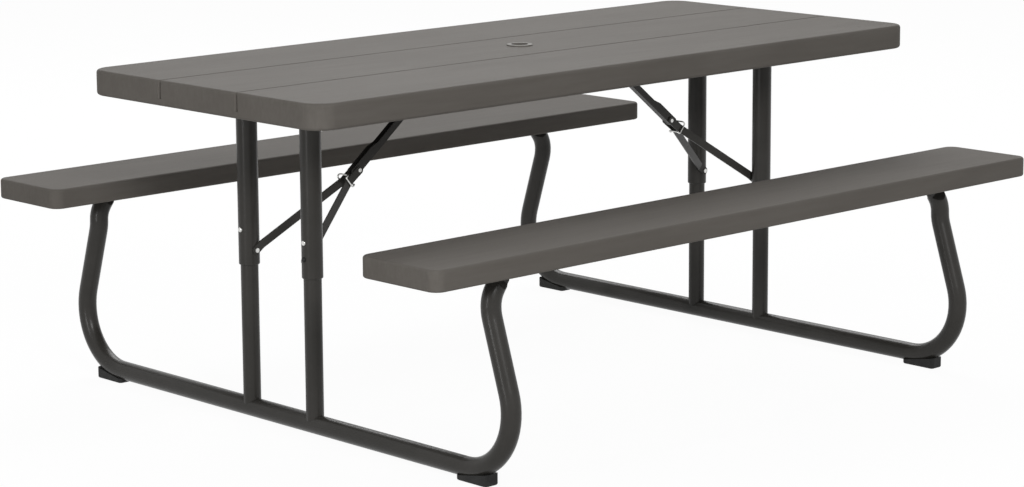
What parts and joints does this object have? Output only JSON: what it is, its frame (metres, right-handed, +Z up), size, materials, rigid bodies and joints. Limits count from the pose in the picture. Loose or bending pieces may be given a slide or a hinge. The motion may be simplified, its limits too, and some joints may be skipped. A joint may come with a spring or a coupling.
{
  "type": "folding picnic table with attached benches",
  "caption": "Folding picnic table with attached benches: moulded plank top with an umbrella hole, tubular steel leg frames that fold flat, and locking knee braces.",
  "frame": {"origin": "on the floor under the middle of the tabletop", "axes": "+X along the table, +Y across it to the back bench, +Z up"},
  "size_m": [1.835, 1.459, 0.7565],
  "materials": {
    "moulded_plastic": "matt, fine wood grain on top",
    "powder_coated_steel": "satin powder coat",
    "black_plastic": "matt",
    "zinc_plated_steel": "bright zinc"
  },
  "bodies": {
    "table": {"tabletop": "moulded_plastic", "umbrella_ring": "moulded_plastic", "table_screws": "zinc_plated_steel", "front_rail": "powder_coated_steel", "back_rail": "powder_coated_steel", "left_hinge_brackets": "powder_coated_steel", "right_hinge_brackets": "powder_coated_steel", "left_brace_mount": "powder_coated_steel", "right_brace_mount": "powder_coated_steel", "left_strut_pin": "zinc_plated_steel", "right_strut_pin": "zinc_plated_steel"},
    "left_frame": {"left_floor_tube": "powder_coated_steel", "left_hinge_tube": "powder_coated_steel", "left_front_sleeve": "powder_coated_steel", "left_back_sleeve": "powder_coated_steel", "left_front_post": "powder_coated_steel", "left_back_post": "powder_coated_steel", "left_front_foot": "black_plastic", "left_back_foot": "black_plastic", "left_sleeve_bolts": "zinc_plated_steel", "left_sleeve_plug": "black_plastic"},
    "left_strut": {"left_strut": "powder_coated_steel"},
    "left_arms": {"left_front_arm": "powder_coated_steel", "left_back_arm": "powder_coated_steel", "left_knee_rivet": "zinc_plated_steel", "left_arm_bolts": "zinc_plated_steel"},
    "left_ring": {"left_lock_ring": "zinc_plated_steel"},
    "right_frame": {"right_floor_tube": "powder_coated_steel", "right_hinge_tube": "powder_coated_steel", "right_front_sleeve": "powder_coated_steel", "right_back_sleeve": "powder_coated_steel", "right_front_post": "powder_coated_steel", "right_back_post": "powder_coated_steel", "right_front_foot": "black_plastic", "right_back_foot": "black_plastic", "right_sleeve_bolts": "zinc_plated_steel", "right_sleeve_plug": "black_plastic"},
    "right_strut": {"right_strut": "powder_coated_steel"},
    "right_arms": {"right_front_arm": "powder_coated_steel", "right_back_arm": "powder_coated_steel", "right_knee_rivet": "zinc_plated_steel", "right_arm_bolts": "zinc_plated_steel"},
    "right_ring": {"right_lock_ring": "zinc_plated_steel"},
    "front_bench": {"front_bench_seat": "moulded_plastic", "front_bench_bracket": "powder_coated_steel", "front_bench_bolt": "zinc_plated_steel", "front_bench_screws": "zinc_plated_steel", "front_slide_rail": "powder_coated_steel"},
    "front_slider": {"front_slider": "powder_coated_steel", "front_slider_bolt": "zinc_plated_steel"},
    "back_bench": {"back_bench_seat": "moulded_plastic", "back_bench_bracket": "powder_coated_steel", "back_bench_bolt": "zinc_plated_steel", "back_bench_screws": "zinc_plated_steel", "back_slide_rail": "powder_coated_steel"},
    "back_slider": {"back_slider": "powder_coated_steel", "back_slider_bolt": "zinc_plated_steel"}
  },
  "joints": [
    {"name": "left_fold", "type": "hinge", "parent": "table", "child": "left_frame", "pos_m": [-0.7, 0, 0.6735], "axis": [0, -1, 0], "range_deg": [0, 90]},
    {"name": "left_strut_swing", "type": "hinge", "parent": "table", "child": "left_strut", "pos_m": [-0.332, 0, 0.6535], "axis": [0, -1, 0], "range_deg": [0, 141.26]},
    {"name": "left_knee", "type": "hinge", "parent": "left_strut", "child": "left_arms", "pos_m": [-0.48618, 0, 0.52978], "axis": [0, 1, 0], "range_deg": [0, 181.91]},
    {"name": "left_ring_slide", "type": "slide", "parent": "left_strut", "child": "left_ring", "axis": [0.7799, 0, 0.6259], "range_m": [0, 0.17]},
    {"name": "right_fold", "type": "hinge", "parent": "table", "child": "right_frame", "pos_m": [0.7, 0, 0.6735], "axis": [0, 1, 0], "range_deg": [0, 90]},
    {"name": "right_strut_swing", "type": "hinge", "parent": "table", "child": "right_strut", "pos_m": [0.332, 0, 0.6535], "axis": [0, 1, 0], "range_deg": [0, 141.26]},
    {"name": "right_knee", "type": "hinge", "parent": "right_strut", "child": "right_arms", "pos_m": [0.48618, 0, 0.52978], "axis": [0, -1, 0], "range_deg": [0, 181.91]},
    {"name": "right_ring_slide", "type": "slide", "parent": "right_strut", "child": "right_ring", "axis": [-0.7799, 0, 0.6259], "range_m": [0, 0.17]},
    {"name": "front_bench_level", "type": "hinge", "parent": "left_frame", "child": "front_bench", "pos_m": [-0.663, -0.648, 0.435], "axis": [0, 1, 0], "range_deg": [0, 90]},
    {"name": "front_slider_level", "type": "hinge", "parent": "right_frame", "child": "front_slider", "pos_m": [0.663, -0.648, 0.435], "axis": [0, -1, 0], "range_deg": [0, 90]},
    {"name": "back_bench_level", "type": "hinge", "parent": "left_frame", "child": "back_bench", "pos_m": [-0.663, 0.648, 0.435], "axis": [0, 1, 0], "range_deg": [0, 90]},
    {"name": "back_slider_level", "type": "hinge", "parent": "right_frame", "child": "back_slider", "pos_m": [0.663, 0.648, 0.435], "axis": [0, -1, 0], "range_deg": [0, 90]}
  ],
  "couplings": [
    {"joint": "left_strut_swing", "follows": "left_fold", "ratio": 1.5695},
    {"joint": "left_knee", "follows": "left_fold", "ratio": 2.0213},
    {"joint": "left_ring_slide", "follows": "left_fold", "m_per_rad": 0.10823},
    {"joint": "right_fold", "follows": "left_fold", "ratio": 1},
    {"joint": "right_strut_swing", "follows": "left_fold", "ratio": 1.5695},
    {"joint": "right_knee", "follows": "left_fold", "ratio": 2.0213},
    {"joint": "right_ring_slide", "follows": "left_fold", "m_per_rad": 0.10823},
    {"joint": "front_bench_level", "follows": "left_fold", "ratio": 1},
    {"joint": "front_slider_level", "follows": "left_fold", "ratio": 1},
    {"joint": "back_bench_level", "follows": "left_fold", "ratio": 1},
    {"joint": "back_slider_level", "follows": "left_fold", "ratio": 1}
  ]
}
